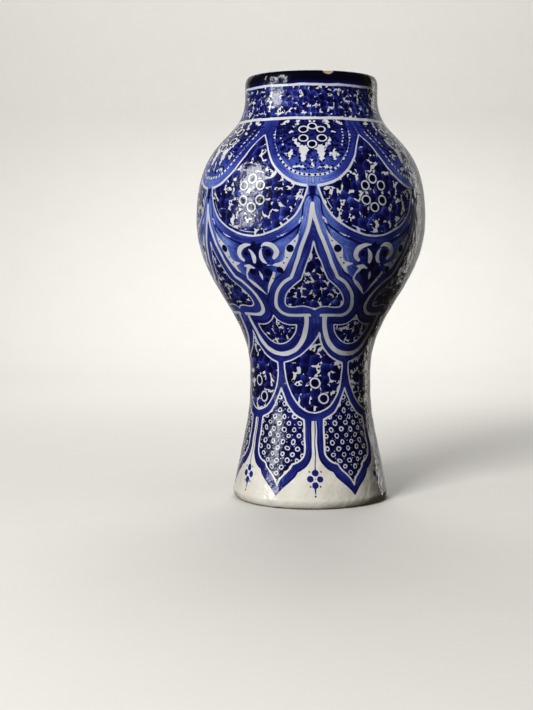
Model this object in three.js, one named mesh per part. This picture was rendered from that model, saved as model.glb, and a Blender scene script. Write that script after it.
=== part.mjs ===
import * as THREE from 'three';

// A wheel-thrown, tin-glazed vase, built as a potter builds a tall one: three thrown sections,
// the foot with the waist, the belly, and the neck with the rim, luted on top of one another.
// Each section's upper edge carries a raised key ring that registers in a groove of the next.
// Units are millimetres, +Z is up, and the origin is the centre of the foot on the table.

// Driving dimensions: heights of the three sections
const FOOT_SECTION_HEIGHT = 172;
const BELLY_SECTION_HEIGHT = 184;
const NECK_SECTION_HEIGHT = 44;

// Driving dimensions: outside shape
const FOOT_RADIUS = 75;
const FOOT_EDGE_HEIGHT = 8;
const FOOT_EDGE_WIDTH = 5;
const WAIST_RADIUS = 58.7;
const WAIST_HEIGHT = 121.5;
const BELLY_RADIUS = 109.7;
const BELLY_RISE = 94.5;
const NECK_RADIUS = 63.2;
const NECK_CREASE_RISE = 26.5;

// How far each curve keeps its end's direction, as a share of its own height
const FOOT_LEAN = 0.2;
const FOOT_FULLNESS = 0.67;
const WAIST_FULLNESS_BELOW = 0.38;
const WAIST_FULLNESS_ABOVE = 0.41;
const BELLY_FULLNESS_BELOW = 0.43;
const BELLY_FULLNESS_ABOVE = 0.725;
const NECK_FULLNESS = 0.4;

// Driving dimensions: clay
const WALL = 6.5;
const FLOOR = 9;
const INSIDE_CORNER_RADIUS = 14;
const FOOT_RING_WIDTH = 13;
const FOOT_RECESS_DEPTH = 3;
const LIP_HEIGHT = 8;
const LIP_OUTER_WIDTH = 4;

// Driving dimensions: luted joints
const KEY_HALF_WIDTH = 2;
const KEY_HEIGHT = 1.2;
const JOINT_GAP = 0.35;

// Facets
const SIDES = 48;
const FOOT_ROW = 15;
const BELLY_ROW = 12;
const NECK_ROW = 8;
const CORNER_STEPS = 4;

// Levels that follow from the sizes above
const LOWER_JOINT = FOOT_SECTION_HEIGHT;
const UPPER_JOINT = LOWER_JOINT + BELLY_SECTION_HEIGHT;
const HEIGHT = UPPER_JOINT + NECK_SECTION_HEIGHT;
const BELLY_LEVEL = LOWER_JOINT + BELLY_RISE;
const NECK_LEVEL = UPPER_JOINT + NECK_CREASE_RISE;
const FLOOR_LEVEL = FOOT_RECESS_DEPTH + FLOOR;

// One stretch of the outside, from radius r0 at level z0 to radius r1 at level z1. It leaves the
// lower end leaning inwards by lean and arrives upright at the upper end.
function stretch(r0, z0, r1, z1, below, above, lean = 0) {
  const span = z1 - z0;
  return new THREE.CubicBezierCurve(
    new THREE.Vector2(r0, z0),
    new THREE.Vector2(r0 - lean * below * span, z0 + below * span),
    new THREE.Vector2(r1, z1 - above * span),
    new THREE.Vector2(r1, z1),
  );
}

const footCurve = stretch(
  FOOT_RADIUS, FOOT_EDGE_HEIGHT, WAIST_RADIUS, WAIST_HEIGHT,
  FOOT_FULLNESS, WAIST_FULLNESS_BELOW, FOOT_LEAN,
);
const riseCurve = stretch(
  WAIST_RADIUS, WAIST_HEIGHT, BELLY_RADIUS, BELLY_LEVEL,
  WAIST_FULLNESS_ABOVE, BELLY_FULLNESS_BELOW,
);
const shoulderCurve = stretch(
  BELLY_RADIUS, BELLY_LEVEL, NECK_RADIUS, NECK_LEVEL,
  BELLY_FULLNESS_ABOVE, NECK_FULLNESS,
);

// Outer radius of the wall at a level, found on its stretch by halving
function outerRadius(z) {
  if (z <= FOOT_EDGE_HEIGHT) return FOOT_RADIUS;
  if (z >= NECK_LEVEL) return NECK_RADIUS;
  const curve = z < WAIST_HEIGHT ? footCurve : z < BELLY_LEVEL ? riseCurve : shoulderCurve;
  let low = 0;
  let high = 1;
  for (let i = 0; i < 40; i += 1) {
    const middle = (low + high) / 2;
    if (curve.getPoint(middle).y < z) low = middle;
    else high = middle;
  }
  return curve.getPoint(low).x;
}

// Inner radius of the wall at a level, with the wall's thickness measured square to its slope
function innerRadius(z) {
  const slope = outerRadius(z + 0.5) - outerRadius(z - 0.5);
  return outerRadius(z) - WALL * Math.hypot(1, slope);
}

// Points of a wall face from one level to another, about a row apart, both ends included
function wallRows(radius, from, to, row) {
  const count = Math.max(1, Math.round(Math.abs(to - from) / row));
  const points = [];
  for (let i = 0; i <= count; i += 1) {
    const z = from + ((to - from) * i) / count;
    points.push(new THREE.Vector2(radius(z), z));
  }
  return points;
}

// Points of a quarter ellipse, without its two ends
function quarter(centreR, centreZ, halfR, halfZ, fromAngle, toAngle) {
  const points = [];
  for (let i = 1; i < CORNER_STEPS; i += 1) {
    const angle = fromAngle + ((toAngle - fromAngle) * i) / CORNER_STEPS;
    const r = centreR + halfR * Math.cos(angle);
    const z = centreZ + halfZ * Math.sin(angle);
    points.push(new THREE.Vector2(r, z));
  }
  return points;
}

// The key ring across a joint, from the outside in, raised by lift: 0 on the lower section's
// edge, the joint gap on the groove of the section above
function keyRing(level, lift) {
  const middle = (outerRadius(level) + innerRadius(level)) / 2;
  return [
    new THREE.Vector2(middle + KEY_HALF_WIDTH, level + lift),
    new THREE.Vector2(middle, level + KEY_HEIGHT + lift),
    new THREE.Vector2(middle - KEY_HALF_WIDTH, level + lift),
  ];
}

// A section turned about the vase's axis from an outline that runs up the outside and down the inside
function thrownSection(name, outline, colour) {
  const geometry = new THREE.LatheGeometry(outline, SIDES);
  geometry.rotateX(Math.PI / 2);
  const glaze = new THREE.MeshStandardMaterial({ color: colour, roughness: 0.25, metalness: 0 });
  const mesh = new THREE.Mesh(geometry, glaze);
  mesh.name = name;
  return mesh;
}

// Foot section: shallow recess, flat foot ring, rounded edge, waisted wall and the vase's floor
function footSection() {
  const ringOuter = FOOT_RADIUS - FOOT_EDGE_WIDTH;
  const ringInner = ringOuter - FOOT_RING_WIDTH;
  const cornerTop = FLOOR_LEVEL + INSIDE_CORNER_RADIUS;
  const cornerRadius = innerRadius(cornerTop) - INSIDE_CORNER_RADIUS;
  const outline = [
    new THREE.Vector2(0, FOOT_RECESS_DEPTH),
    new THREE.Vector2(ringInner - FOOT_RECESS_DEPTH, FOOT_RECESS_DEPTH),
    new THREE.Vector2(ringInner, 0),
    new THREE.Vector2(ringOuter, 0),
    ...quarter(ringOuter, FOOT_EDGE_HEIGHT, FOOT_EDGE_WIDTH, FOOT_EDGE_HEIGHT, -Math.PI / 2, 0),
    ...wallRows(outerRadius, FOOT_EDGE_HEIGHT, LOWER_JOINT, FOOT_ROW),
    ...keyRing(LOWER_JOINT, 0),
    ...wallRows(innerRadius, LOWER_JOINT, cornerTop, FOOT_ROW),
    ...quarter(cornerRadius, cornerTop, INSIDE_CORNER_RADIUS, INSIDE_CORNER_RADIUS, 0, -Math.PI / 2),
    new THREE.Vector2(cornerRadius, FLOOR_LEVEL),
    new THREE.Vector2(0, FLOOR_LEVEL),
  ];
  return thrownSection('foot_section', outline, 0x3f5c93);
}

// Belly section: the round body between the two joints
function bellySection() {
  const bottom = LOWER_JOINT + JOINT_GAP;
  const outline = [
    ...wallRows(outerRadius, bottom, UPPER_JOINT, BELLY_ROW),
    ...keyRing(UPPER_JOINT, 0),
    ...wallRows(innerRadius, UPPER_JOINT, bottom, BELLY_ROW),
    ...keyRing(LOWER_JOINT, JOINT_GAP).reverse(),
    new THREE.Vector2(outerRadius(bottom), bottom),
  ];
  return thrownSection('belly_section', outline, 0x4a68a0);
}

// Neck section: the collar and its rounded lip, which is fuller on the outside
function neckSection() {
  const bottom = UPPER_JOINT + JOINT_GAP;
  const lipBase = HEIGHT - LIP_HEIGHT;
  const crest = outerRadius(lipBase) - LIP_OUTER_WIDTH;
  const lipInnerWidth = crest - innerRadius(lipBase);
  const outline = [
    ...wallRows(outerRadius, bottom, lipBase, NECK_ROW),
    ...quarter(crest, lipBase, LIP_OUTER_WIDTH, LIP_HEIGHT, 0, Math.PI / 2),
    new THREE.Vector2(crest, HEIGHT),
    ...quarter(crest, lipBase, lipInnerWidth, LIP_HEIGHT, Math.PI / 2, Math.PI),
    ...wallRows(innerRadius, lipBase, bottom, NECK_ROW),
    ...keyRing(UPPER_JOINT, JOINT_GAP).reverse(),
    new THREE.Vector2(outerRadius(bottom), bottom),
  ];
  return thrownSection('neck_section', outline, 0x2b3f73);
}

const group = new THREE.Group();
group.add(footSection());
group.add(bellySection());
group.add(neckSection());

export default group;
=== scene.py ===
import math

import bpy
import numpy as np
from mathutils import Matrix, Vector


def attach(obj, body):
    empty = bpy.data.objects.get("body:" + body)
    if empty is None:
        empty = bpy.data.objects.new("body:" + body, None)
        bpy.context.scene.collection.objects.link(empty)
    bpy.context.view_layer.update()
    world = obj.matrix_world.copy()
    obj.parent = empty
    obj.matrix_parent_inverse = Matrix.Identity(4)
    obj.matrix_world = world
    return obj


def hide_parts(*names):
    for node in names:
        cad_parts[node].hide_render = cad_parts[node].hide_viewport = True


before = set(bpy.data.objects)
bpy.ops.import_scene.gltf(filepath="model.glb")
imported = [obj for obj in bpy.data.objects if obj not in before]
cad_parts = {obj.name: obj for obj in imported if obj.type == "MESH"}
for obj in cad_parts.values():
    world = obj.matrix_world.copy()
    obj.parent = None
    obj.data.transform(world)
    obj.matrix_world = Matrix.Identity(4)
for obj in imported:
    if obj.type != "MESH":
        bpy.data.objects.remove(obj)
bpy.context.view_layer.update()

# Foot section. The potter throws the floor, the spreading foot and the narrow
# waist as one piece of buff clay, dips it in white tin glaze and paints it with
# cobalt: lappets over the foot, ogee medallions on the waist, lunettes above.

# Sizes and levels are in mm, and MM turns them into metres
MM = 0.001
FOOT_RADIUS = 75.0
FOOT_EDGE_HEIGHT = 8.0
FOOT_EDGE_WIDTH = 5.0
FOOT_RING_WIDTH = 13.0
FOOT_RECESS = 3.0
FLOOR_LEVEL = 12.0
INSIDE_CORNER = 14.0
WAIST_RADIUS = 58.7
WAIST_HEIGHT = 121.5
WALL = 6.5
LOWER_JOINT = 172.0
UPPER_JOINT = 356.0
BELLY_RADIUS = 109.7
BELLY_LEVEL = 266.5
NECK_RADIUS = 63.2
NECK_LEVEL = 382.5
HEIGHT = 400.0
LIP_HEIGHT = 8.0
LIP_OUTER_WIDTH = 4.0
# How far each flowing stretch keeps its direction at its lower and upper end, as a share of its height
FOOT_FLARE = 0.67, 0.38
FOOT_LEAN = 0.2
BELLY_SWELL = 0.41, 0.43
SHOULDER_FALL = 0.725, 0.4
OUTLINE_STEPS = 300
LEVEL_STEPS = 400


def stretch(r0, z0, r1, z1, below, above, lean=0.0):
    """One flowing stretch of the outside, between two radii at two levels."""
    span = z1 - z0
    t = np.linspace(0, 1, OUTLINE_STEPS)
    ends = (1 - t) ** 3, 3 * t * (1 - t) ** 2, 3 * t * t * (1 - t), t ** 3
    radii = np.array([r0, r0 - lean * below * span, r1, r1]) @ ends
    levels = np.array([z0, z0 + below * span, z1 - above * span, z1]) @ ends
    return np.column_stack((radii, levels))


def quarter(centre_r, centre_z, half_r, half_z, start, stop, steps):
    """Points of a quarter ellipse, from one angle to another in degrees."""
    turn = np.radians(np.linspace(start, stop, steps))
    return np.column_stack((centre_r + half_r * np.cos(turn), centre_z + half_z * np.sin(turn)))


outside = np.vstack((
    stretch(FOOT_RADIUS, FOOT_EDGE_HEIGHT, WAIST_RADIUS, WAIST_HEIGHT, *FOOT_FLARE, FOOT_LEAN),
    stretch(WAIST_RADIUS, WAIST_HEIGHT, BELLY_RADIUS, BELLY_LEVEL, *BELLY_SWELL)[1:],
    stretch(BELLY_RADIUS, BELLY_LEVEL, NECK_RADIUS, NECK_LEVEL, *SHOULDER_FALL)[1:],
    [(NECK_RADIUS, HEIGHT - LIP_HEIGHT)],
))
steps_along = np.hypot(*np.diff(outside, axis=0).T)
outside_run = np.concatenate(([0.0], np.cumsum(steps_along))) + FOOT_EDGE_HEIGHT


def radius_at(level):
    """Outer radius of the wall at a level, in mm."""
    return np.interp(level, outside[:, 1], outside[:, 0])


def run_at(level):
    """Length up the wall from the table to a level, in mm, as a brush would measure it."""
    past = np.maximum(np.asarray(level) - (HEIGHT - LIP_HEIGHT), 0)
    short = np.minimum(np.asarray(level) - FOOT_EDGE_HEIGHT, 0)
    return np.interp(level, outside[:, 1], outside_run) + past + short


def inner_radius_at(level):
    """Inner radius, with the wall's thickness square to its slope."""
    slope = radius_at(level + 0.5) - radius_at(level - 0.5)
    return radius_at(level) - WALL * np.hypot(1, slope)


def wall_rows(radius, start, stop, row):
    """Points of a wall face from one level to another, a row apart along the slope."""
    levels = np.linspace(start, stop, LEVEL_STEPS)
    radii = radius(levels)
    run = np.concatenate(([0.0], np.cumsum(np.hypot(np.diff(levels), np.diff(radii)))))
    even = np.linspace(0, run[-1], max(2, round(run[-1] / row) + 1))
    return np.column_stack((np.interp(even, run, radii), np.interp(even, run, levels)))


MERGE_DISTANCE = 0.02
SMOOTH_ANGLE = 40
TURNS = 480


def throw(name, outline):
    """Draws half a section's outline point by point and spins it round the axis."""
    bpy.ops.object.select_all(action="DESELECT")
    start = (outline[0][0] * MM, 0, outline[0][1] * MM)
    bpy.ops.mesh.primitive_plane_add(size=MM, location=start)
    piece = bpy.context.object
    piece.name = name
    piece.data.name = name
    bpy.ops.object.transform_apply(location=True, rotation=False, scale=False)
    bpy.ops.object.mode_set(mode="EDIT")
    bpy.ops.mesh.select_all(action="SELECT")
    bpy.ops.mesh.merge(type="CENTER")
    for step_r, step_z in np.diff(outline, axis=0) * MM:
        bpy.ops.mesh.extrude_region_move(
            TRANSFORM_OT_translate={"value": (float(step_r), 0, float(step_z))})
    bpy.ops.mesh.select_all(action="SELECT")
    bpy.ops.mesh.spin(steps=TURNS, angle=math.tau, center=(0, 0, 0), axis=(0, 0, 1))
    bpy.ops.mesh.select_all(action="SELECT")
    bpy.ops.mesh.remove_doubles(threshold=MERGE_DISTANCE * MM)
    bpy.ops.mesh.normals_make_consistent(inside=False)
    bpy.ops.object.mode_set(mode="OBJECT")
    bpy.ops.object.shade_smooth_by_angle(angle=math.radians(SMOOTH_ANGLE))
    return piece


ROW = 1.2
INSIDE_ROW = 6.0
RECESS_CORNER = 9.0
RING_FLAT = 6.0

ring_outer = FOOT_RADIUS - FOOT_EDGE_WIDTH
ring_inner = ring_outer - FOOT_RING_WIDTH
corner_top = FLOOR_LEVEL + INSIDE_CORNER
corner_radius = inner_radius_at(corner_top) - INSIDE_CORNER
foot_outline = np.vstack((
    [(0, FOOT_RECESS), (ring_inner - RECESS_CORNER, FOOT_RECESS)],
    quarter(ring_inner - RECESS_CORNER, 0, RECESS_CORNER, FOOT_RECESS, 90, 0, 5)[1:],
    [(ring_inner + RING_FLAT, 0)],
    quarter(ring_outer, FOOT_EDGE_HEIGHT, FOOT_EDGE_WIDTH, FOOT_EDGE_HEIGHT, -90, 0, 10),
    wall_rows(radius_at, FOOT_EDGE_HEIGHT, LOWER_JOINT, ROW)[1:],
    wall_rows(inner_radius_at, LOWER_JOINT, corner_top, INSIDE_ROW),
    quarter(corner_radius, corner_top, INSIDE_CORNER, INSIDE_CORNER, 0, -90, 6)[1:],
    [(corner_radius / 2, FLOOR_LEVEL), (0, FLOOR_LEVEL)],
))
foot = throw("foot", foot_outline)


def points_of(piece):
    """A piece's points, one row each, in mm."""
    flat = np.empty(len(piece.data.vertices) * 3)
    piece.data.vertices.foreach_get("co", flat)
    return flat.reshape(-1, 3) / MM


FINGER_MARK = 0.11
FINGER_PITCH = 2.9
OVAL_SWELL = 0.45
THREEFOLD_SWELL = 0.22
WALL_SHRINK = 0.35
TRUE_BASE = 2
UNEVEN_FROM = 12
CENTRE_SPARED = 20


def shape_by_hand(piece):
    """Gives the wall the slight swellings and finger marks that throwing by hand leaves."""
    p = points_of(piece)
    level = p[:, 2]
    turn = np.arctan2(p[:, 0], -p[:, 1])
    marks = FINGER_MARK * np.sin(level / FINGER_PITCH + turn) * np.exp(-((level - 60) / 260) ** 2)
    swell = OVAL_SWELL * np.sin(2 * turn + 0.7 + level / 210)
    swell += THREEFOLD_SWELL * np.sin(3 * turn + 2.1 - level / 90)
    push = (marks + swell) * np.clip((level - TRUE_BASE) / UNEVEN_FROM, 0, 1) - WALL_SHRINK
    far = np.maximum(np.hypot(p[:, 0], p[:, 1]), MERGE_DISTANCE)
    push = np.where(far > CENTRE_SPARED, push, 0)
    p[:, :2] *= (1 + push / far)[:, None]
    piece.data.vertices.foreach_set("co", (p * MM).ravel())
    piece.data.update()


shape_by_hand(foot)

# The painter's columns: six stand under the middles of the scallops (column a) and six between
# them (column b). Each kind strays a few degrees to one side as it goes down, by level.
LEAN_A = {20: 3.9, 60: 4.1, 105: 4.0, 134: 2.6, 150: 5.2, 162: 7.0, 172: 4.3, 187: 2.4, 215: 2.0, 275: 0.7}
LEAN_B = {20: 4.5, 60: 3.6, 110: 2.6, 145: 3.9, 180: 3.5, 205: 2.5, 240: 2.0, 285: 1.0}
COLUMN_STEP = 60
BACK_WOBBLE = 0.7
SLOW_TREMOR = 0.16
FAST_TREMOR = 0.12
SLOW_LIFT = 0.2
FAST_LIFT = 0.1
FAR = 30.0


def painter_grid(piece):
    """For each point: level, run up the wall, and distance and number across both kinds of column."""
    p = points_of(piece)
    level = p[:, 2]
    turn = np.arctan2(p[:, 0], -p[:, 1])
    wobble = BACK_WOBBLE * np.sin(3 * turn + level / 55) * (1 - np.cos(turn)) / 2
    angle = np.degrees(turn) + wobble
    tremor = SLOW_TREMOR * np.sin(13 * turn + level / 4.7) + FAST_TREMOR * np.sin(29 * turn - level / 3.1)
    lift = SLOW_LIFT * np.sin(11 * turn + level / 6.3 + 1) + FAST_LIFT * np.sin(23 * turn + level / 2.9)
    degree = np.radians(1) * radius_at(level)
    half = COLUMN_STEP / 2
    a = angle - np.interp(level, list(LEAN_A), list(LEAN_A.values())) + half
    b = angle - np.interp(level, list(LEAN_B), list(LEAN_B.values()))
    return dict(level=level, run=run_at(level) + lift,
                a=(a % COLUMN_STEP - half) * degree + tremor, a_number=np.floor(a / COLUMN_STEP),
                b=(b % COLUMN_STEP - half) * degree + tremor, b_number=np.floor(b / COLUMN_STEP))


def flowing(points, steps=7):
    """A smooth line through a few given points, each in degrees and level."""
    p = np.array([(np.radians(d) * radius_at(z), run_at(z)) for d, z in points], float)
    if len(p) == 2:
        return p
    slope = np.gradient(p, axis=0)
    t = np.linspace(0, 1, steps, endpoint=False)[:, None]
    parts = [
        (2 * t ** 3 - 3 * t * t + 1) * p[i] + (t ** 3 - 2 * t * t + t) * slope[i]
        + (3 * t * t - 2 * t ** 3) * p[i + 1] + (t ** 3 - t * t) * slope[i + 1]
        for i in range(len(p) - 1)
    ]
    return np.vstack((*parts, p[-1:]))


def outline(*runs):
    """Half an outline, mirrored about its column, from smooth runs that meet at corners."""
    lines = [flowing(run) for run in runs]
    return np.vstack([lines[0], *(line[1:] for line in lines[1:])])


def nearest(line, across, up, halves=(0.0, 0.0)):
    """Distance to the edge of a brush stroke whose half width varies, and the run along it to there."""
    best = np.full(across.shape, FAR)
    along = np.zeros(across.shape)
    run = np.concatenate(([0.0], np.cumsum(np.hypot(*np.diff(line, axis=0).T))))
    stations = np.linspace(0, run[-1], len(halves))
    for (x0, y0), (x1, y1), start, stop in zip(line, line[1:], run, run[1:]):
        dx, dy = x1 - x0, y1 - y0
        t = np.clip(((across - x0) * dx + (up - y0) * dy) / max(dx * dx + dy * dy, 1e-9), 0, 1)
        here = start + (stop - start) * t
        found = np.hypot(across - x0 - t * dx, up - y0 - t * dy) - np.interp(here, stations, halves)
        along = np.where(found < best, here, along)
        best = np.minimum(best, found)
    return best, along


def enclosed(line, x, y):
    """True for points inside a closed line."""
    crossings = np.zeros(x.shape, bool)
    for (x0, y0), (x1, y1) in zip(line, line[1:]):
        if y0 != y1:
            crossings ^= ((y0 > y) != (y1 > y)) & (x < (x1 - x0) * (y - y0) / (y1 - y0) + x0)
    return crossings


def shape_distance(line, across, up):
    """Distance to a closed shape given by its right half: negative inside, in mm."""
    near = (up > line[:, 1].min() - FAR) & (up < line[:, 1].max() + FAR)
    result = np.full(across.shape, FAR)
    x, y = np.abs(across[near]), up[near]
    edge, _ = nearest(line, x, y)
    closed = np.vstack((line, [(-BELLY_RADIUS, line[-1, 1])], [(-BELLY_RADIUS, line[0, 1])], line[:1]))
    result[near] = np.where(enclosed(closed, x, y), -edge, edge)
    return result


STROKE_REACH = 9


def strokes_distance(strokes, across, up):
    """Distance to the nearest of several strokes, each given by its points and its half widths."""
    result = np.full(across.shape, FAR)
    for points, halves in strokes:
        line = flowing(points)
        near = (up > line[:, 1].min() - STROKE_REACH) & (up < line[:, 1].max() + STROKE_REACH)
        found, _ = nearest(line, across[near], up[near], halves)
        result[near] = np.minimum(result[near], found)
    return result


def patch_distance(corners, across, up):
    """Distance to one closed patch given by all its corners: negative inside, in mm."""
    line = np.array([(np.radians(d) * radius_at(z), run_at(z)) for d, z in [*corners, corners[0]]])
    edge, _ = nearest(line, across, up)
    return np.where(enclosed(line, across, up), -edge, edge)


def dots_distance(dots, across, up):
    """Distance to the nearest of several round dots, each given in degrees, level and radius."""
    result = np.full(across.shape, FAR)
    for degrees, level, radius in dots:
        x, y = np.radians(degrees) * radius_at(level), run_at(level)
        result = np.minimum(result, np.hypot(across - x, up - y) - radius)
    return result


def rings_distance(rings, across, up):
    """Distance to the nearest ring's centre as a share of that ring's radius."""
    result = np.full(across.shape, FAR)
    for degrees, level, radius in rings:
        x, y = np.radians(degrees) * radius_at(level), run_at(level)
        result = np.minimum(result, np.hypot(across - x, up - y) / radius)
    return result


def store(piece, name, values):
    """Keeps one number for each point of a piece, for its glaze to read."""
    field = piece.data.attributes.new(name, "FLOAT", "POINT")
    field.data.foreach_set("value", np.asarray(values, np.float32))


COLUMN_SHIFT = 17.3, 5.1


def store_place(piece, across, up, size, number):
    """Keeps where each point lies on its own column, counted in rosettes of a size."""
    shift_across, shift_up = COLUMN_SHIFT
    place = np.column_stack((across / size + shift_across * number, up / size + shift_up * number, 0 * up))
    field = piece.data.attributes.new("place", "FLOAT_VECTOR", "POINT")
    field.data.foreach_set("vector", place.astype(np.float32).ravel())


# Lunettes fill the arches under the belly, one between each pair of stems.
lunette = outline([(23.8, 182), (23.4, 172), (22.4, 164), (20.4, 157), (16.6, 150.5),
                   (12.2, 146.4), (6.4, 143.4), (0, 142.4)])
lunette_heart = outline([(0, 179), (2, 175.2), (6, 171.8), (11, 170.2), (16.4, 170.4)],
                        [(16.4, 170.4), (15, 164.4), (12, 159), (8, 155), (4, 152.7), (0, 152)])
# Ogee medallions stand on the waist below the stems.
ogee = outline([(0, 163), (1.4, 157.5), (3.6, 152.5), (7, 147.5), (12.5, 141.8), (19.5, 137.3),
                (26.6, 134.4)],
               [(26.6, 134.4), (26.6, 127), (25.2, 118), (22.4, 108.5), (17.8, 99.8), (12, 93.2),
                (6, 89.5), (0, 88.3)])
# Lappets hang over the foot, each with a pointed skirt of blue round it.
lappet = outline([(0, 110.5), (2.4, 104), (6, 96), (10.6, 89.3), (15.4, 85), (21.3, 82)],
                 [(21.3, 82), (21.8, 70), (21.8, 54), (20.9, 48.6), (17.8, 44.4), (14.4, 42.2),
                  (11.8, 41.2)],
                 [(11.8, 41.2), (10.2, 37.6), (7.4, 34), (4.2, 30.2), (1.6, 26.2), (0, 21.5)])
skirt = outline([(27.7, 90), (27.7, 70), (27.6, 54), (26.4, 46), (23.2, 39.8), (19.6, 36.2),
                 (16.4, 34.2)],
                [(16.4, 34.2), (14.4, 30), (11, 25.8), (6.8, 21.2), (3, 16.4), (0, 11.8)])
pendant_dots = [(0, 34, 3.1), (0, 22.6, 3.1), (-3.8, 28.3, 3.0), (3.8, 28.3, 3.0), (0, 28.3, 0.7),
                (4.3, 35.2, 0.9), (-4.3, 35, 0.9), (3.8, 21.4, 0.9), (-3.7, 21.4, 0.9), (0, 12.6, 0.9)]
pendant_lines = [([(0, 82), (0, 34)], (0.5, 0.5)), ([(0, 20.6), (0, 12.6)], (0.9, 0.2))]
ogee_rings = [(0.8, 116, 5.2), (8, 101.5, 5.2)]
OGEE_ROSETTE = 9.2
LUNETTE_ROSETTE = 5.6

grid = painter_grid(foot)
a, b, up = grid["a"], grid["b"], grid["run"]
under_stem = shape_distance(ogee, a, up)
in_lunette = shape_distance(lunette, b, up)
in_heart = shape_distance(lunette_heart, b, up)
in_lappet = shape_distance(lappet, b, up)
store(foot, "ogee", under_stem)
store(foot, "lunette", in_lunette)
store(foot, "lunette_heart", in_heart)
store(foot, "lappet", in_lappet)
store(foot, "skirt", shape_distance(skirt, b, up))
store(foot, "blue_mark", np.minimum(dots_distance(pendant_dots, a, up),
                                    strokes_distance(pendant_lines, a, up)))
store(foot, "ring", rings_distance(ogee_rings, a, up))
store(foot, "across", b)
store(foot, "run", up)
store(foot, "from_line", np.min(np.abs([under_stem, in_lunette, in_heart, in_lappet]), axis=0))
in_ogee = under_stem < 0
size = np.where(in_ogee, OGEE_ROSETTE, LUNETTE_ROSETTE)
store_place(foot, np.where(in_ogee, a, b), up, size,
            np.where(in_ogee, grid["a_number"], grid["b_number"] + 0.5))


HAND_SCALE = 0.07
STRAY_SCALE = 0.12


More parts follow.
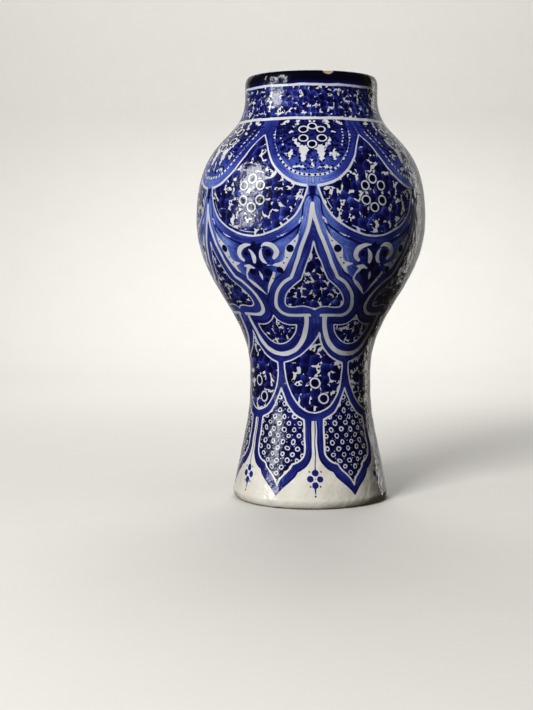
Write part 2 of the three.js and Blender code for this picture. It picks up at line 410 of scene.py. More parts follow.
class Brush:
    """Adds one glaze's nodes: each method adds a node or two and hands back its output."""

    def __init__(self, name):
        self.material = bpy.data.materials.new(name)
        self.material.use_nodes = True
        self.nodes = self.material.node_tree.nodes
        self.links = self.material.node_tree.links
        self.shader = self.nodes["Principled BSDF"]

    def feed(self, socket, value):
        if isinstance(value, bpy.types.NodeSocket):
            self.links.new(value, socket)
        else:
            socket.default_value = (*value, 1) if socket.type == "RGBA" else value

    def node(self, kind, *values, **named):
        """Adds a node and feeds its inputs, in order or by name."""
        node = self.nodes.new("ShaderNode" + kind)
        for socket, value in zip(node.inputs, values):
            self.feed(socket, value)
        for name, value in named.items():
            self.feed(node.inputs[name], value)
        return node

    def maths(self, operation, *values):
        node = self.node("Math", *values)
        node.operation = operation
        return node.outputs[0]

    def times(self, value, factor, more=0.0):
        """value x factor + more"""
        return self.maths("MULTIPLY_ADD", value, factor, more)

    def minus(self, value, less):
        return self.maths("SUBTRACT", value, less)

    def field(self, name, output="Fac"):
        node = self.node("Attribute")
        node.attribute_name = name
        return node.outputs[output]

    def body(self):
        """Place on the object, in mm."""
        return self.scaled(self.node("TexCoord").outputs["Object"], 1 / MM)

    def scaled(self, vector, factor):
        node = self.node("VectorMath", vector)
        node.operation = "SCALE"
        node.inputs["Scale"].default_value = factor
        return node.outputs[0]

    def moved(self, vector, offset):
        return self.node("VectorMath", vector, offset).outputs[0]

    def vector(self, x, y, z=0.0):
        return self.node("CombineXYZ", x, y, z).outputs[0]

    def parts(self, vector):
        return self.node("SeparateXYZ", vector).outputs

    def noise(self, vector, scale, detail=2.0, output="Fac"):
        return self.node("TexNoise", Vector=vector, Scale=scale, Detail=detail).outputs[output]

    def cells(self, vector, scale, randomness=1.0, feature="F1"):
        node = self.node("TexVoronoi", Vector=vector, Scale=scale, Randomness=randomness)
        node.voronoi_dimensions = "2D"
        node.feature = feature
        return node.outputs

    def below(self, value, edge, soft):
        """1 where value is under the edge, 0 past it, with a soft step between."""
        linked = isinstance(edge, bpy.types.NodeSocket)
        start = self.minus(edge, soft / 2) if linked else edge - soft / 2
        stop = self.maths("ADD", edge, soft / 2) if linked else edge + soft / 2
        node = self.node("MapRange", value, start, stop, 1.0, 0.0)
        node.interpolation_type = "SMOOTHSTEP"
        return node.outputs["Result"]

    def above(self, value, edge, soft):
        return self.minus(1.0, self.below(value, edge, soft))

    def line(self, value, centre, width, soft):
        """1 along a line where value is near centre."""
        off = self.maths("ABSOLUTE", self.minus(value, centre))
        half = self.times(width, 0.5)
        return self.below(off, half, soft)

    def inside(self, name, soft=0.4):
        """1 inside the outline whose distance is kept under this name."""
        return self.below(self.field(name), 0.0, soft)

    def under_level(self, level, soft):
        return self.below(self.field("run"), run_at(level), soft)

    def over_level(self, level, soft):
        return self.above(self.field("run"), run_at(level), soft)

    def both(self, *masks):
        result = masks[0]
        for mask in masks[1:]:
            result = self.times(result, mask)
        return result

    def lay(self, under, over, *masks):
        """Lays one strength of blue over another where every mask is 1."""
        node = self.nodes.new("ShaderNodeMix")
        node.data_type = "FLOAT"
        self.feed(node.inputs[0], self.both(*masks))
        self.feed(node.inputs[2], under)
        self.feed(node.inputs[3], over)
        return node.outputs[0]

    def colour(self, value, stops):
        node = self.node("ValToRGB", value)
        ramp = node.color_ramp
        while len(ramp.elements) < len(stops):
            ramp.elements.new(0.5)
        for element, (place, shade) in zip(ramp.elements, stops):
            element.position = place
            element.color = (*shade, 1)
        return node.outputs["Color"]

    def hand(self):
        """How hard the painter presses, from place to place."""
        return self.noise(self.body(), HAND_SCALE, 2.0)

    def strayed_place(self, stray):
        """Place on the column in rosettes, pushed about so that they don't stand in rows."""
        push = self.noise(self.body(), STRAY_SCALE, 1.0, "Color")
        return self.moved(self.field("place", "Vector"), self.scaled(push, stray))

    def relief(self, height, strength, depth):
        """Raises the surface where height is more, by up to depth in mm."""
        bump = self.node("Bump", Height=height, Strength=strength, Distance=depth * MM)
        self.feed(self.shader.inputs["Normal"], bump.outputs["Normal"])

    def tint(self, under, over, mask, blend="MIX"):
        node = self.nodes.new("ShaderNodeMix")
        node.data_type = "RGBA"
        node.blend_type = blend
        for i, value in ((0, mask), (6, under), (7, over)):
            self.feed(node.inputs[i], value)
        return node.outputs[2]

    def finish(self, colour, rough):
        self.feed(self.shader.inputs["Base Color"], colour)
        self.feed(self.shader.inputs["Roughness"], rough)


# Blue by how thickly the cobalt lies, from bare white glaze to nearly black where it pools
COBALT = (
    (0.00, (0.670, 0.660, 0.615)),
    (0.14, (0.340, 0.410, 0.600)),
    (0.33, (0.085, 0.140, 0.500)),
    (0.50, (0.024, 0.040, 0.270)),
    (0.65, (0.0075, 0.0110, 0.130)),
    (0.82, (0.0022, 0.0026, 0.052)),
    (1.00, (0.0006, 0.0006, 0.006)),
)
BUFF_CLAY = 0.50, 0.40, 0.27
CLAY_STAIN = 0.22, 0.14, 0.075
SMEARED_GLAZE = 0.55, 0.50, 0.42
RUST = 0.26, 0.11, 0.035
CLOUDED = ((0.3, (0.90, 0.87, 0.80)), (0.7, (1.0, 1.0, 1.0)))

# Strengths of blue: bare glaze, a white gap, a dot and the dark rim of a rosette
BARE = 0.0
GAP_WHITE = 0.02
DOT_NAVY = 0.97
ROSETTE_RIM = 0.92
# How far rosettes stray from an even grid, and how wide the gaps between them open
ROSETTE_STRAY = 0.74
GAP_SPREAD = 1.3
PETALS = 5.0
GLAZE_BLEED = 0.11
GLOSS = 0.06
CLAY_ROUGHNESS = 0.85
BRUSH_RELIEF = 0.6


def white_line(brush, blue, field, width, *masks, centre=0.0):
    """Keeps a white line free of blue along an outline: its width swells and shrinks with the hand."""
    uneven = brush.times(brush.hand(), 0.5, 0.75)
    line = brush.line(brush.field(field), centre, brush.times(uneven, width), 0.45)
    return brush.lay(blue, BARE, line, *masks)


def rosettes(brush, place, depth, opening=0.50):
    """Dark lobed rosettes packed together, with forked white gaps and dots left between some of them."""
    cell = brush.cells(place, 1.0, ROSETTE_STRAY)
    x, y, _ = brush.parts(brush.moved(place, brush.scaled(cell["Position"], -1.0)))
    petal = brush.maths("COSINE", brush.times(brush.maths("ARCTAN2", y, x), PETALS))
    own = brush.times(brush.parts(cell["Color"])[0], 0.26, depth)
    blue = brush.times(cell["Distance"], -0.40, own)
    blue = brush.times(x, 0.26, brush.times(y, -0.16, blue))
    edge = brush.cells(place, 1.0, ROSETTE_STRAY, "DISTANCE_TO_EDGE")["Distance"]
    edge = brush.times(petal, 0.030, edge)
    room = brush.minus(brush.noise(place, 0.95, 1.0), opening)
    off_gap = brush.minus(edge, brush.times(room, GAP_SPREAD))
    blue = brush.lay(blue, ROSETTE_RIM, brush.below(off_gap, 0.08, 0.08))
    dot = brush.below(brush.cells(place, 2.2, 0.8)["Distance"], 0.25, 0.08)
    return brush.lay(blue, brush.lay(GAP_WHITE, DOT_NAVY, dot), brush.below(off_gap, 0.0, 0.035))


def finish_glaze(brush, blue, bleed, clay_mask=None):
    """Turns the strength of blue into the fired glaze: colour, gloss, and the relief of the brushwork."""
    body = brush.body()
    broad = brush.noise(body, 0.035, 2.0)
    grain = brush.noise(body, 1.1, 2.0)
    uneven = brush.times(brush.minus(broad, 0.5), 0.28, blue)
    uneven = brush.times(brush.minus(grain, 0.5), 0.22, uneven)
    painted = brush.above(blue, 0.1, 0.1)
    strength = brush.lay(blue, uneven, painted)
    strength = brush.maths("MAXIMUM", strength, brush.times(broad, bleed))
    colour = brush.colour(strength, COBALT)
    cloud = brush.colour(brush.noise(body, 0.06, 4.0), CLOUDED)
    colour = brush.tint(colour, cloud, 1.0, "MULTIPLY")
    pinhole = brush.below(brush.cells(brush.scaled(body, 0.11), 1.0)["Distance"], 0.035, 0.03)
    pits = brush.both(pinhole, brush.above(brush.noise(body, 0.05, 0.0), 0.55, 0.02))
    colour = brush.tint(colour, RUST, brush.times(pits, 0.5))
    rough = brush.times(grain, 0.06, GLOSS)
    rough = brush.times(broad, 0.10, rough)
    if clay_mask is not None:
        colour = brush.tint(colour, brush.colour(grain, ((0.3, CLAY_STAIN), (0.7, BUFF_CLAY))), clay_mask)
        rough = brush.lay(rough, CLAY_ROUGHNESS, clay_mask)
    brush.finish(colour, rough)
    brush.shader.inputs["IOR"].default_value = 1.50
    dimple = brush.noise(body, 0.11, 3.0)
    height = brush.times(blue, 0.12, brush.times(dimple, 1.8))
    height = brush.times(grain, 0.05, height)
    brush.relief(height, 1.0, BRUSH_RELIEF)


def graded(brush, value, start, stop, at_start, at_stop):
    """A strength of blue that changes evenly as value goes from start to stop."""
    return brush.node("MapRange", value, start, stop, at_start, at_stop).outputs["Result"]


def by_level(brush, low, high, at_low, at_high):
    """A strength of blue that changes evenly up the wall, between two levels."""
    return graded(brush, brush.field("run"), run_at(low), run_at(high), at_low, at_high)


LUNETTE_TOP = 180.5


def lunette_blue(brush, blue, infill):
    """The lunette: a broad white arch, a band of blue, and a thin white line round a dark heart."""
    low = brush.under_level(LUNETTE_TOP, 0.4)
    blue = brush.lay(blue, infill, brush.inside("lunette_heart"), low)
    blue = white_line(brush, blue, "lunette_heart", 1.1, low)
    return white_line(brush, blue, "lunette", 4.0, low)


def washed(brush, base, swing=0.50):
    """Blue brushed on in long strokes that follow the nearest outline."""
    body = brush.parts(brush.body())
    along = brush.vector(brush.times(brush.field("from_line"), 1.1),
                         brush.times(body[2], 0.05), brush.times(body[0], 0.05))
    uneven = brush.minus(brush.noise(along, 1.0, 2.0), 0.5)
    return brush.times(uneven, swing, base)


FOOT_WASH = 0.64
SKIRT_TOP = 81
SKIRT_EDGE_BLUE = 0.86
PENDANT_TOP = 82
PENDANT_BLUE = 0.60
RING_NAVY = 0.95
paint = Brush("foot_painted_glaze")
foot_glaze = paint.material
infill = rosettes(paint, paint.strayed_place(0.35), 0.82)
low = paint.under_level(SKIRT_TOP, 0.5)
skirt_field = paint.field("skirt")
blue = paint.lay(washed(paint, FOOT_WASH), BARE, low, paint.above(skirt_field, 0.0, 0.5))
blue = paint.lay(blue, SKIRT_EDGE_BLUE, paint.line(skirt_field, -0.7, 1.2, 0.8), low, 0.7)
blue = paint.lay(blue, PENDANT_BLUE, paint.inside("blue_mark"), paint.under_level(PENDANT_TOP, 0.5))
blue = paint.lay(blue, infill, paint.inside("ogee"))
blue = white_line(paint, blue, "ogee", 1.4)
ring = paint.field("ring")
ring_blue = paint.lay(RING_NAVY, BARE, paint.line(ring, 0.86, 0.30, 0.08))
blue = paint.lay(blue, ring_blue, paint.below(ring, 1.12, 0.1))

# The lappets' grid: small white rings on navy, a column and a row apart in mm, each drawn a little astray
GRID_ACROSS = 10.2
GRID_UP = 11.6
GRID_STRAY = 3.0
GRID_WHITE = 0.03
GRID_NAVY = 0.93
GRID_NAVY_THIN = 0.72


def grid_rings(brush, across, run, shift):
    """Distance to the middle of the nearest ring in one of the two staggered sets."""
    x = brush.times(across, 1 / GRID_ACROSS, shift)
    y = brush.times(run, 1 / GRID_UP, shift)
    x = brush.times(brush.minus(brush.maths("FRACT", x), 0.5), GRID_ACROSS)
    y = brush.times(brush.minus(brush.maths("FRACT", y), 0.5), GRID_UP)
    return brush.maths("SQRT", brush.times(x, x, brush.times(y, y)))


jitter = paint.parts(paint.noise(paint.body(), 0.1, 1.0, "Color"))
across = paint.field("across")
run = paint.field("run")
shaky = [paint.times(jitter[i], GRID_STRAY, value) for i, value in enumerate((across, run))]
ring_grid = paint.maths("MINIMUM", *(grid_rings(paint, *shaky, shift) for shift in (0.0, 0.5)))
bead_radius = paint.times(paint.hand(), 0.8, 1.35)
bead_width = paint.times(jitter[2], 1.5, 0.42)
bead = paint.line(ring_grid, bead_radius, bead_width, 0.5)
navy = paint.lay(GRID_NAVY, GRID_NAVY_THIN, paint.above(paint.noise(paint.body(), 0.22, 1.0), 0.56, 0.2))
speck = paint.below(paint.cells(paint.vector(across, run), 0.20)["Distance"], 0.10, 0.05)
navy = paint.lay(navy, 0.05, speck, paint.above(ring_grid, 3.4, 0.3))
blue = paint.lay(blue, paint.lay(navy, GRID_WHITE, bead), paint.inside("lappet"))
blue = white_line(paint, blue, "lappet", 1.7)
blue = lunette_blue(paint, blue, infill)

# Blue bleeds faintly into the white high on the foot, and the glaze is worn off its bottom edge
BLEED_FROM = 70
BLEED_FULL = 100
level = paint.parts(paint.body())[2]
ragged_level = paint.times(paint.noise(paint.body(), 0.12, 4.0), -3.0, level)
finish_glaze(paint, blue, by_level(paint, BLEED_FROM, BLEED_FULL, 0.0, GLAZE_BLEED),
             paint.below(ragged_level, -0.2, 0.5))


def plain_glaze(name):
    """The inside is only dipped: plain white tin glaze with faint runs and pinholes."""
    brush = Brush(name)
    body = brush.body()
    x, y, z = brush.parts(body)
    runs = brush.noise(brush.vector(x, y, brush.times(z, 0.12)), 0.12, 3.0)
    colour = brush.colour(runs, ((0.25, (0.50, 0.47, 0.40)), (0.75, (0.66, 0.64, 0.57))))
    round_about = brush.times(x, 0.13, brush.times(y, 0.17))
    pit_place = brush.vector(round_about, brush.times(z, 0.15))
    pit = brush.below(brush.cells(pit_place, 1.0)["Distance"], 0.05, 0.04)
    brush.finish(brush.tint(colour, RUST, pit), brush.times(runs, 0.15, 0.16))
    brush.relief(brush.noise(body, 0.15, 3.0), 0.4, 0.5)
    return brush.material


def bare_clay(name):
    """The foot ring is wiped clean before firing, so its buff clay shows, gritty and dull."""
    brush = Brush(name)
    body = brush.body()
    grit = brush.noise(body, 1.6, 4.0)
    colour = brush.colour(grit, ((0.3, (0.30, 0.21, 0.13)), (0.7, (0.50, 0.39, 0.27))))
    smear = brush.times(brush.above(brush.noise(body, 0.06, 4.0), 0.60, 0.12), 0.6)
    brush.finish(brush.tint(colour, SMEARED_GLAZE, smear), brush.times(grit, 0.2, 0.72))
    brush.relief(grit, 0.6, 0.4)
    return brush.material


inside_glaze = plain_glaze("inside_white_glaze")
foot_clay = bare_clay("bare_buff_clay")


def glaze_faces(piece, *materials, choose):
    """Gives a piece its materials, and each face the one that choose picks by its middle, in mm."""
    for material in materials:
        piece.data.materials.append(material)
    middle = np.empty(len(piece.data.polygons) * 3)
    piece.data.polygons.foreach_get("center", middle)
    middle = middle.reshape(-1, 3) / MM
    slots = choose(np.hypot(middle[:, 0], middle[:, 1]), middle[:, 2])
    piece.data.polygons.foreach_set("material_index", slots.astype(np.int32))


def foot_slots(radius, level):
    """0 for painted glaze, 1 for the inside, 2 for the bare foot ring and its recess."""
    inner = (radius < radius_at(np.maximum(level, FOOT_EDGE_HEIGHT)) - WALL / 2) & (level > FLOOR_LEVEL - 1)
    under = (level < FLOOR_LEVEL - 1) & (radius < ring_outer + 1)
    return np.where(inner, 1, np.where(under, 2, 0))


glaze_faces(foot, foot_glaze, inside_glaze, foot_clay, choose=foot_slots)
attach(foot, "root")
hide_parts("foot_section")


# Belly section. The round body is thrown as a ring, luted on the foot and
# painted from the shoulder down: scallops, round medallions, and spades on
# stems with scrolls between them.

belly_outline = np.vstack((
    wall_rows(radius_at, LOWER_JOINT, UPPER_JOINT, ROW),
    wall_rows(inner_radius_at, UPPER_JOINT, LOWER_JOINT, INSIDE_ROW),
    [(radius_at(LOWER_JOINT), LOWER_JOINT)],
))
belly = throw("belly", belly_outline)
shape_by_hand(belly)

scallop = outline([(30.2, 365), (30, 350), (29.6, 340.5)],
                  [(29.6, 340.5), (25, 330), (22, 320), (18.4, 310.5), (14, 303), (9.5, 297.6),
                   (5, 294.8), (0, 293.9)])
medallion = outline([(29.8, 356), (29.2, 325), (28.1, 302), (27.1, 291), (25.2, 280.5), (22.8, 272),
                     (19.6, 265.3), (15, 259.2), (10, 254.6), (5, 251.6), (0, 250.4)])
spade = outline([(0, 279), (0.6, 270), (1.7, 261), (3.7, 250), (6, 240), (8.1, 230), (10.2, 221),
                 (12.4, 214)],
                [(12.4, 214), (16.8, 209.4), (20.6, 203), (23.4, 196), (24.8, 188.5), (23.6, 183.2),
                 (20.5, 180.2), (16, 179.2), (4.2, 179.2)],
                [(4.2, 179.2), (4.0, 170)])
spade_heart = outline([(0, 246), (1.3, 237), (3.2, 228.5), (5, 220), (7, 212.5)],
                      [(7, 212.5), (10.4, 208.2), (14.2, 202.8), (17.2, 196.6), (18.4, 190.6), (16.8, 187.4),
                       (13, 186.8), (7.5, 187.6), (3, 186.6), (0, 184.4)])
# White scrolls between the spades: each stroke's points, in degrees from its column and level, then
# its half widths from one end to the other
scrolls = [
    ([(-1.5, 243.2), (-5, 242.6), (-8.3, 239.8), (-9.8, 235.8), (-9.4, 231.8), (-7.8, 229)],
     (0.3, 1.8, 2.4, 2.2, 1.4)),
    ([(-3.6, 239.6), (-2.2, 236.2), (-1.5, 232), (-1.6, 227.6)], (0.3, 1.6, 2.3, 1.7)),
    ([(3.4, 241.2), (6, 243.2), (9, 242.2), (11, 238.8), (11.2, 235), (9.6, 231.2)],
     (0.3, 1.9, 2.5, 2.4, 1.5)),
    ([(4.3, 240.5), (3, 237), (2.7, 232.5), (3.6, 228.6), (5.6, 226)], (0.3, 1.3, 2.1, 1.8, 0.3)),
    ([(5.1, 224.4), (8, 225.2), (11.1, 224.4), (14, 226)], (0.3, 0.5, 0.9, 1.5)),
    ([(-8.4, 223.8), (-5.4, 223.2), (-2.4, 222)], (0.6, 2.3, 0.8)),
    ([(-6.4, 221), (-8.3, 216.8), (-8.8, 213)], (1.6, 0.9, 0.9)),
    ([(0, 219.4), (0.5, 215.4), (0.9, 211)], (0.3, 1.5, 0.3)),
    ([(-8.8, 212.6), (-5.4, 207.4), (-2.5, 203), (0.1, 198.4)], (0.8, 1.8, 1.4, 0.4)),
    ([(8.4, 218), (6.6, 212), (3.6, 205), (0.9, 198.8)], (1.2, 1.6, 1.0, 0.4)),
]
scroll_petals = [(-4, 218.6, 3.4), (5, 218, 4), (11.8, 220.6, 3.2), (0.9, 224, 3.0), (0, 243.6, 2.2),
                 (7, 235.6, 3.3), (-5.9, 235, 2.5), (3.4, 211.4, 2.6), (-8.9, 209.9, 0.8), (7.2, 212.6, 0.8)]
leaf = [(5.9, 256), (8.4, 249.4), (10.7, 245.4), (13.4, 241), (14.2, 236), (14.2, 231.6),
        (15.6, 228.2), (18.6, 226.8), (21.4, 226.4), (18.6, 225), (16.6, 224), (17.2, 221),
        (18.6, 217), (16, 219.4), (13.9, 223.8), (11.2, 231.6), (9.2, 239), (7.4, 246.4)]
slivers = [
    ([(4.3, 268), (5.6, 264.4), (6.6, 261)], (0.3, 1.2, 0.5)),
    ([(12, 254), (14.6, 251.2), (17.4, 249.6)], (0.3, 0.8, 0.3)),
]
flame = [([(0, 277), (0, 269), (0, 263)], (0.5, 1.4, 2.2))]
leaf_dots = [(11.4, 239.4, 3.5), (8.7, 246, 0.9), (13.2, 231.4, 0.9), (15, 226.8, 0.9), (5.3, 264.6, 0.9)]
# White gaps in the scallop's field, and the beaded line that follows its edge
gaps = [
    ([(9.4, 322.4), (13.8, 322.2)], (1.1, 1.1)),
    ([(11.6, 318.4), (11.6, 326)], (1.1, 1.1)),
    ([(0, 317.6), (0, 311)], (1.1, 1.0)),
    ([(3.4, 309.6), (5.8, 311), (8.8, 310.6)], (0.5, 1.3, 0.8)),
    ([(9.6, 353.5), (11.6, 347.4)], (2.0, 0.8)),
    ([(17.4, 353.6), (20.6, 350.6)], (1.9, 0.9)),
    ([(12.6, 344), (14.4, 342.6)], (0.9, 0.9)),
    ([(2.2, 353.6), (0.6, 352.6)], (1.0, 1.2)),
]
tree = [(1.6, 328.6), (4, 330.6), (6.4, 330.4), (8.0, 333.6), (9.4, 338.2), (11.6, 337.4),
        (9.6, 331.6), (7, 327.4), (6.6, 322), (5.4, 315.6), (3.9, 315.6), (3.4, 321), (2.4, 325)]
bead_row = [(25.6, 350), (23.8, 341), (21.6, 332.5), (18.3, 323), (14.6, 314.4), (10.6, 308.6),
            (6.2, 304.8), (0, 303.2)]
short_row = [(19.8, 346), (18.6, 338), (16.4, 331)]
scallop_rings = [(0, 348.5, 4.6), (-5.6, 345.2, 4.7), (5.6, 345.4, 4.5), (-5, 337, 4.6), (5.6, 337, 4.9),
                 (0, 331.4, 4.7)]
medallion_rings = [(0, 301, 4.7), (0, 276, 4.7), (4.5, 295, 4.6), (-4.5, 295, 4.6), (4.5, 282.2, 4.7),
                   (-4.5, 282.2, 4.7)]
wedge = [([(0, 302), (0, 296), (0, 289), (0, 281)], (2.2, 3.6, 2.6, 0.4))]
SCALLOP_ROSETTE = 7.0
SPADE_ROSETTE = 7.4
MEDALLION_ROSETTE = 8.4
ARCH_LEVEL = 185

grid = painter_grid(belly)
a, b, up, level = grid["a"], grid["b"], grid["run"], grid["level"]
in_scallop = shape_distance(scallop, a, up)
in_medallion = shape_distance(medallion, b, up)
in_spade = shape_distance(spade, a, up)
in_spade_heart = shape_distance(spade_heart, a, up)
in_lunette = shape_distance(lunette, b, up)
in_heart = shape_distance(lunette_heart, b, up)
outlines = dict(scallop=in_scallop, medallion=in_medallion, spade=in_spade, spade_heart=in_spade_heart,
                lunette=in_lunette, lunette_heart=in_heart)
for name, distance in outlines.items():
    store(belly, name, distance)
store(belly, "run", up)
nearest_outline = np.min(np.abs([in_scallop, in_medallion, in_spade, in_spade_heart, in_lunette]), axis=0)
store(belly, "from_line", nearest_outline)
side = np.abs(a)
white = np.minimum(strokes_distance(scrolls, b, up), strokes_distance(slivers, side, up))
white = np.minimum(white, patch_distance(leaf, side, up))
white = np.minimum(white, strokes_distance(flame, a, up))
store(belly, "white_mark", white)
store(belly, "gap", np.minimum(strokes_distance(gaps, side, up), patch_distance(tree, side, up)))
store(belly, "wedge", strokes_distance(wedge, a, up))
for name, points in (("bead_row", bead_row), ("short_row", short_row)):
    off_row, along_row = nearest(flowing(points), side, up)
    store(belly, name, off_row)
    store(belly, name + "_run", along_row)
store(belly, "blue_mark", np.minimum(dots_distance(leaf_dots, side, up),
                                     dots_distance(scroll_petals, b, up)))
store(belly, "from_a", side)
store(belly, "ring", np.minimum(rings_distance(scallop_rings, a, up),
                                rings_distance(medallion_rings, b, up)))
own_a = (in_scallop < 0) | (in_spade < 0)
size = np.select([in_scallop < 0, in_spade < 0, level < ARCH_LEVEL],
                 [SCALLOP_ROSETTE, SPADE_ROSETTE, LUNETTE_ROSETTE], MEDALLION_ROSETTE)
store_place(belly, np.where(own_a, a, b), up, size,
            np.where(own_a, grid["a_number"], grid["b_number"] + 0.5))

# Strengths of blue on the belly
WAIST_GROUND = 0.64
GROUND_PALE = 0.37
GROUND_DEEP = 0.80
BESIDE_PALE = 0.30
BESIDE_DEEP = 0.58
DEEP_LINE = 0.84
SPADE_BAND_LOW = 0.64
SPADE_BAND_HIGH = 0.33
SPADE_BLUE = 0.56
MARK_NAVY = 0.92
WEDGE_NAVY = 0.90
STEM_FOOT = 178


def bead_dots(brush, name, step, radius):
    """Round dots an even step apart along a row, from the row's own distance and run."""
    off = brush.field(name)
    place = brush.maths("FRACT", brush.maths("DIVIDE", brush.field(name + "_run"), step))
    along = brush.times(brush.minus(place, 0.5), step)
    apart = brush.times(off, off, brush.times(along, along))
    return brush.below(brush.maths("SQRT", apart), radius, 0.35)


paint = Brush("belly_painted_glaze")
belly_glaze = paint.material
place = paint.strayed_place(0.3)
infill = rosettes(paint, place, 0.76)
from_a = paint.field("from_a")
scallop_field = paint.field("scallop")
medallion_field = paint.field("medallion")
spade_field = paint.field("spade")

# The ground between medallions and spades, brushed deep, then the lighter bands round each shape
ground = graded(paint, from_a, 30.0, 52.0, GROUND_PALE, GROUND_DEEP)
ground = paint.lay(WAIST_GROUND, ground, by_level(paint, STEM_FOOT, 206, 0.0, 1.0))
blue = washed(paint, ground, 0.55)
off_medallion = paint.line(medallion_field, 8.6, 1.8, 1.2)
blue = paint.lay(blue, DEEP_LINE, off_medallion, paint.above(spade_field, 7.0, 0.8))
beside = washed(paint, graded(paint, from_a, 4.0, 34.0, BESIDE_PALE, BESIDE_DEEP))
blue = paint.lay(blue, beside, paint.below(medallion_field, 7.6, 1.0))
blue = paint.lay(blue, DEEP_LINE, paint.line(spade_field, 7.6, 1.4, 1.0), 0.8)
spade_band = washed(paint, by_level(paint, 200, 262, SPADE_BAND_LOW, SPADE_BAND_HIGH))
blue = paint.lay(blue, spade_band, paint.below(spade_field, 6.9, 0.8), paint.over_level(183, 8.0))
blue = paint.lay(blue, BARE, paint.inside("white_mark"))
blue = paint.lay(blue, MARK_NAVY, paint.inside("blue_mark", 0.5))
blue = paint.lay(blue, washed(paint, SPADE_BLUE), paint.inside("spade"))
blue = paint.lay(blue, infill, paint.inside("spade_heart"))
blue = white_line(paint, blue, "spade_heart", 1.2)
blue = lunette_blue(paint, blue, infill)
blue = white_line(paint, blue, "spade", 3.2, paint.over_level(STEM_FOOT, 0.4))
blue = paint.lay(blue, infill, paint.inside("medallion"))
broken = paint.above(paint.noise(paint.body(), 0.15, 1.0), 0.50, 0.06)
blue = paint.lay(blue, 0.08, paint.line(medallion_field, -3.4, 0.7, 0.4), broken)
blue = white_line(paint, blue, "medallion", 1.6)
blue = paint.lay(blue, WEDGE_NAVY, paint.inside("wedge", 3.0), 0.85)

# The scallops over them: a deep field with ragged white gaps, beaded rows and a pale brushed hem
FIELD_LOW = 0.46
FIELD_HIGH = 0.70
BLOT = 0.88
BEAD_NAVY = 0.96
HEM_PALE = 0.29
HEM_DEEP = 0.66
HEM_WIDTH = 7.6
HEM_LINE_LOW = 2.4
HEM_LINE_HIGH = 1.2
SCALLOP_FOOT = 300
# Each row of beads: its name, white width and its edge, how it is broken up, its white, then step and radius
BEAD_ROWS = (
    ("bead_row", 2.5, 0.4, 0.3, 0.36, 0.02, 4.2, 1.05),
    ("short_row", 1.8, 0.5, 0.4, 0.47, 0.05, 4.0, 1.0),
)
field_blue = washed(paint, by_level(paint, 306, 345, FIELD_LOW, FIELD_HIGH), 0.40)
blot = paint.below(paint.cells(place, 1.3, 0.8)["Distance"], 0.36, 0.12)
field_blue = paint.lay(field_blue, BLOT, blot, paint.over_level(322, 14.0))
crumb = paint.below(paint.cells(place, 2.0, 0.7)["Distance"], 0.33, 0.1)
off_gap = paint.minus(paint.field("gap"), 2.2)
frayed = paint.times(paint.noise(place, 2.6, 1.0), 4.0, off_gap)
field_blue = paint.lay(field_blue, BARE, paint.below(frayed, 0.0, 0.3))
field_blue = paint.lay(field_blue, BEAD_NAVY, crumb, paint.line(frayed, 0.5, 3.0, 0.4))
for name, width, soft, scale, edge, white_blue, _, _ in BEAD_ROWS:
    broken = paint.above(paint.noise(paint.body(), scale, 1.0), edge, 0.06)
    field_blue = paint.lay(field_blue, white_blue, paint.line(paint.field(name), 0.0, width, soft), broken)
hem = washed(paint, graded(paint, from_a, 4.0, 44.0, HEM_PALE, HEM_DEEP))
field_blue = paint.lay(field_blue, hem, paint.above(scallop_field, -HEM_WIDTH, 0.8))
blue = paint.lay(blue, field_blue, paint.inside("scallop"))
for name, *_, step, radius in BEAD_ROWS:
    dots = bead_dots(paint, name, step, radius)
    blue = paint.lay(blue, BEAD_NAVY, dots, paint.below(scallop_field, -3.0, 0.4))
parted = paint.maths("MAXIMUM", paint.above(from_a, 4.6, 0.6), paint.over_level(SCALLOP_FOOT, 0.6))
hem_line = by_level(paint, SCALLOP_FOOT, 336, HEM_LINE_LOW, HEM_LINE_HIGH)
blue = white_line(paint, blue, "scallop", hem_line, paint.under_level(341, 0.6), parted)

# Rings in groups of six, and the white line under the collar
COLLAR_LINE_LEVEL = 356.3
COLLAR_LINE_WIDTH = 3.2
ring = paint.field("ring")
blue = paint.lay(blue, 0.90, paint.below(ring, 1.16, 0.1))
ring_width = paint.times(paint.hand(), 0.2, 0.20)
blue = paint.lay(blue, BARE, paint.line(ring, 0.84, ring_width, 0.1))
blue = paint.lay(blue, 1.0, paint.below(ring, 0.64, 0.1))
collar_line = run_at(COLLAR_LINE_LEVEL)
blue = white_line(paint, blue, "run", COLLAR_LINE_WIDTH, centre=collar_line)
finish_glaze(paint, blue, GLAZE_BLEED)


def belly_slots(radius, level):
    """0 for painted glaze, 1 for the inside."""
    return np.where(radius < radius_at(level) - WALL / 2, 1, 0)


glaze_faces(belly, belly_glaze, inside_glaze, choose=belly_slots)
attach(belly, "root")
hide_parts("belly_section")


# Neck section. A short collar with a rounded lip, luted on the shoulder. A
# dense garland fills it between two white lines, and the lip is painted in
# cobalt so dark that it is nearly black. The lip has lost one small chip.

NECK_ROW = 0.9
NECK_INSIDE_ROW = 2.0
LIP_STEPS = 12
lip_base = HEIGHT - LIP_HEIGHT
crest = NECK_RADIUS - LIP_OUTER_WIDTH
lip_inner = crest - (NECK_RADIUS - WALL)
neck_outline = np.vstack((
    wall_rows(radius_at, UPPER_JOINT, lip_base, NECK_ROW),
    quarter(crest, lip_base, LIP_OUTER_WIDTH, LIP_HEIGHT, 0, 90, LIP_STEPS)[1:],
    quarter(crest, lip_base, lip_inner, LIP_HEIGHT, 90, 180, LIP_STEPS // 2)[1:],
    wall_rows(inner_radius_at, lip_base, UPPER_JOINT, NECK_INSIDE_ROW)[1:],
    [(radius_at(UPPER_JOINT), UPPER_JOINT)],
))
neck = throw("neck", neck_outline)
shape_by_hand(neck)

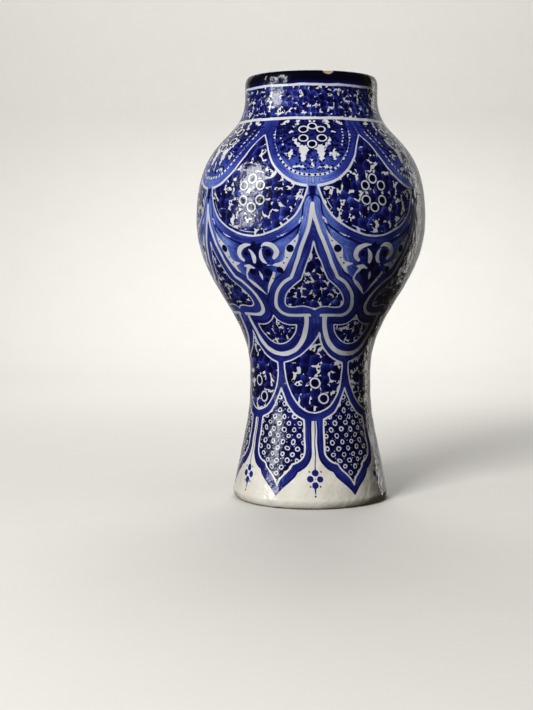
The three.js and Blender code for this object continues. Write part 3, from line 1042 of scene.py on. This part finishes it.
# The chip: where round the lip, half its width, its height and how much is lost, in mm
CHIP_DEGREES = 14.5
CHIP_HALF = 5.0
CHIP_HEIGHT = 3.0
CHIP_DROP = 1.875
CHIP_INWARD = 1.5
p = points_of(neck)
turn = np.degrees(np.arctan2(p[:, 0], -p[:, 1]))
far_along = (turn - CHIP_DEGREES) * np.radians(1) * NECK_RADIUS / CHIP_HALF
far_down = (HEIGHT - 0.4 - p[:, 2]) / CHIP_HEIGHT
outer = np.hypot(p[:, 0], p[:, 1]) > crest - 1.0
ragged = 0.16 * np.sin(turn * 3.1) + 0.12 * np.sin(turn * 7.7 + p[:, 2] * 2)
depth = np.clip((1 - np.hypot(far_along, far_down) + ragged) * 3, 0, 1) * outer
p[:, 2] -= CHIP_DROP * depth
p[:, :2] *= (1 - CHIP_INWARD * depth / NECK_RADIUS)[:, None]
neck.data.vertices.foreach_set("co", (p * MM).ravel())
neck.data.update()

grid = painter_grid(neck)
store(neck, "run", grid["run"])
store(neck, "chip", depth)
# The collar's garland runs right round, so its place is folded at the two sides and has no seam
folded = np.abs((turn + 90) % 360 - 180)
COLLAR_ROSETTE = 5.4
store_place(neck, np.radians(folded) * NECK_RADIUS, grid["run"], COLLAR_ROSETTE, 0)

RIM_LINE_LEVEL = 387
RIM_LEVEL = 388
RIM_NAVY_LOW = 0.84
RIM_NAVY_HIGH = 1.05
paint = Brush("neck_painted_glaze")
neck_glaze = paint.material
blue = rosettes(paint, paint.strayed_place(0.5), 0.74, 0.52)
rim_blue = paint.lay(RIM_NAVY_LOW, RIM_NAVY_HIGH, paint.over_level(391, 2.5))
blue = paint.lay(blue, rim_blue, paint.over_level(RIM_LEVEL, 0.5))
blue = white_line(paint, blue, "run", 2.2, centre=run_at(RIM_LINE_LEVEL))
blue = white_line(paint, blue, "run", COLLAR_LINE_WIDTH, centre=collar_line)
finish_glaze(paint, blue, GLAZE_BLEED, paint.above(paint.field("chip"), 0.22, 0.16))


RIM_BLUE_INSIDE = 388.5


def neck_slots(radius, level):
    """0 for painted glaze, which runs a little way down inside the lip, 1 for the inside below it."""
    return np.where((radius < radius_at(level) - WALL / 2) & (level < RIM_BLUE_INSIDE), 1, 0)


glaze_faces(neck, neck_glaze, inside_glaze, choose=neck_slots)
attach(neck, "root")
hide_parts("neck_section")


# Studio. A pale floor sweeps up into a pale backdrop. Some lamps only light
# surfaces: the window on the left, one overhead, one behind and one for the
# backdrop. The others only show as glare on the glaze.


def pale(name, shade, roughness):
    """Matt paint for the floor, very faintly mottled."""
    brush = Brush(name)
    speckle = brush.noise(brush.body(), 0.02, 3.0)
    dim = tuple(0.985 * c for c in shade)
    brush.finish(brush.colour(speckle, ((0.3, dim), (0.7, shade))), roughness)
    return brush.material


FLOOR_SHADE = 0.64, 0.63, 0.605
FLOOR_ROUGHNESS = 0.7
FLOOR_SIZE = 2.6
WALL_AWAY = 1.9
WALL_TALL = 2.5
SWEEP_RADIUS = 0.8
SWEEP_STEPS = 16
bpy.ops.object.select_all(action="DESELECT")
bpy.ops.mesh.primitive_plane_add(size=FLOOR_SIZE, location=(0, WALL_AWAY - SWEEP_RADIUS - FLOOR_SIZE / 2, 0))
floor = bpy.context.object
floor.name = "floor"
bpy.ops.object.transform_apply(location=True, rotation=False, scale=False)
bpy.ops.object.mode_set(mode="EDIT")
bpy.ops.mesh.select_all(action="DESELECT")
bpy.ops.object.mode_set(mode="OBJECT")
for edge in floor.data.edges:
    edge.select = all(floor.data.vertices[v].co.y > 0 for v in edge.vertices)
for vertex in floor.data.vertices:
    vertex.select = vertex.co.y > 0
bpy.ops.object.mode_set(mode="EDIT")
for i in range(SWEEP_STEPS):
    a0, a1 = (math.pi / 2 * k / SWEEP_STEPS for k in (i, i + 1))
    rise = SWEEP_RADIUS * (math.cos(a0) - math.cos(a1))
    back = SWEEP_RADIUS * (math.sin(a1) - math.sin(a0))
    bpy.ops.mesh.extrude_region_move(TRANSFORM_OT_translate={"value": (0, back, rise)})
bpy.ops.mesh.extrude_region_move(TRANSFORM_OT_translate={"value": (0, 0, WALL_TALL)})
bpy.ops.object.mode_set(mode="OBJECT")
bpy.ops.object.shade_smooth()
floor.data.materials.append(pale("pale_floor", FLOOR_SHADE, FLOOR_ROUGHNESS))
# The vase neither mirrors the floor nor is lit up by it, as on a dark table top
floor.visible_glossy = False
floor.visible_diffuse = False


MIDDLE = (0, 0, 0.22)


def soft_light(name, azimuth, elevation, distance, width, tall, power, shade, aim=MIDDLE, glare=False):
    """A softbox that faces a point. Azimuth 0 is the camera's side, positive to its right.
    It lights surfaces, or with glare it only shows in what is glossy."""
    lamp = bpy.data.lights.new(name, "AREA")
    lamp.shape = "RECTANGLE"
    lamp.size = width
    lamp.size_y = tall
    lamp.energy = power
    lamp.color = shade
    holder = bpy.data.objects.new(name, lamp)
    a, e = math.radians(azimuth), math.radians(elevation)
    away = Vector((math.sin(a) * math.cos(e), -math.cos(a) * math.cos(e), math.sin(e)))
    holder.location = away * distance + Vector(aim)
    holder.rotation_mode = "QUATERNION"
    holder.rotation_quaternion = away.to_track_quat("Z", "Y")
    holder.visible_glossy = glare
    holder.visible_diffuse = not glare
    holder.visible_camera = False
    bpy.context.scene.collection.objects.link(holder)


DAYLIGHT = (1.0, 0.985, 0.96)
COOL_GLARE = (0.96, 0.98, 1.0)
WARM_GLARE = (1.0, 0.96, 0.90)
ROOM_WHITE = (1.0, 0.99, 0.97)
soft_light("window", -32, 25, 2.4, 0.90, 1.10, 82, DAYLIGHT)
soft_light("window_glare", -61, 26, 1.25, 0.44, 0.54, 11, COOL_GLARE, glare=True)
soft_light("low_glare", -62, 2, 1.25, 0.36, 0.20, 3, COOL_GLARE, glare=True)
soft_light("edge_glare", 134, 2, 1.4, 0.10, 1.1, 1.7, WARM_GLARE, glare=True)
soft_light("wall_glare", 180, 12, 1.8, 3.0, 2.0, 9, ROOM_WHITE, glare=True)
soft_light("overhead", 20, 86, 1.3, 0.8, 0.8, 4, ROOM_WHITE, (0, 0, 0.4))
soft_light("backdrop_light", 0, 40, 1.1, 2.4, 0.5, 13, ROOM_WHITE, (0, 1.9, 0.5))
soft_light("rear_fill", 180, 42, 1.6, 1.0, 1.0, 18, ROOM_WHITE)

# The room is dim and warm where it lights the vase, and plain and pale where the camera looks past it
ROOM_LIGHT = (0.040, 0.035, 0.028, 1)
ROOM_SEEN = (0.69, 0.68, 0.66, 1)
world = bpy.data.worlds.new("studio")
bpy.context.scene.world = world
world.use_nodes = True
room = world.node_tree
seen = room.nodes.new("ShaderNodeLightPath")
room_light = room.nodes.new("ShaderNodeMix")
room_light.data_type = "RGBA"
room_light.inputs[6].default_value = ROOM_LIGHT
room_light.inputs[7].default_value = ROOM_SEEN
room.links.new(seen.outputs["Is Camera Ray"], room_light.inputs[0])
room.links.new(room_light.outputs[2], room.nodes["Background"].inputs["Color"])
bpy.context.scene.view_settings.view_transform = "Standard"

CAMERA_DISTANCE = 1.2507
CAMERA_HEIGHT = 0.2395
CAMERA_DOWN = 4.69
CAMERA_TURN = 1.94
CAMERA_LENS = 65.9
camera_data = bpy.data.cameras.new("camera")
camera_data.lens = CAMERA_LENS
camera_data.sensor_width = 36
camera = bpy.data.objects.new("camera", camera_data)
camera.location = (0, -CAMERA_DISTANCE, CAMERA_HEIGHT)
camera.rotation_euler = (math.radians(90 - CAMERA_DOWN), 0, math.radians(CAMERA_TURN))
bpy.context.scene.collection.objects.link(camera)
bpy.context.scene.camera = camera
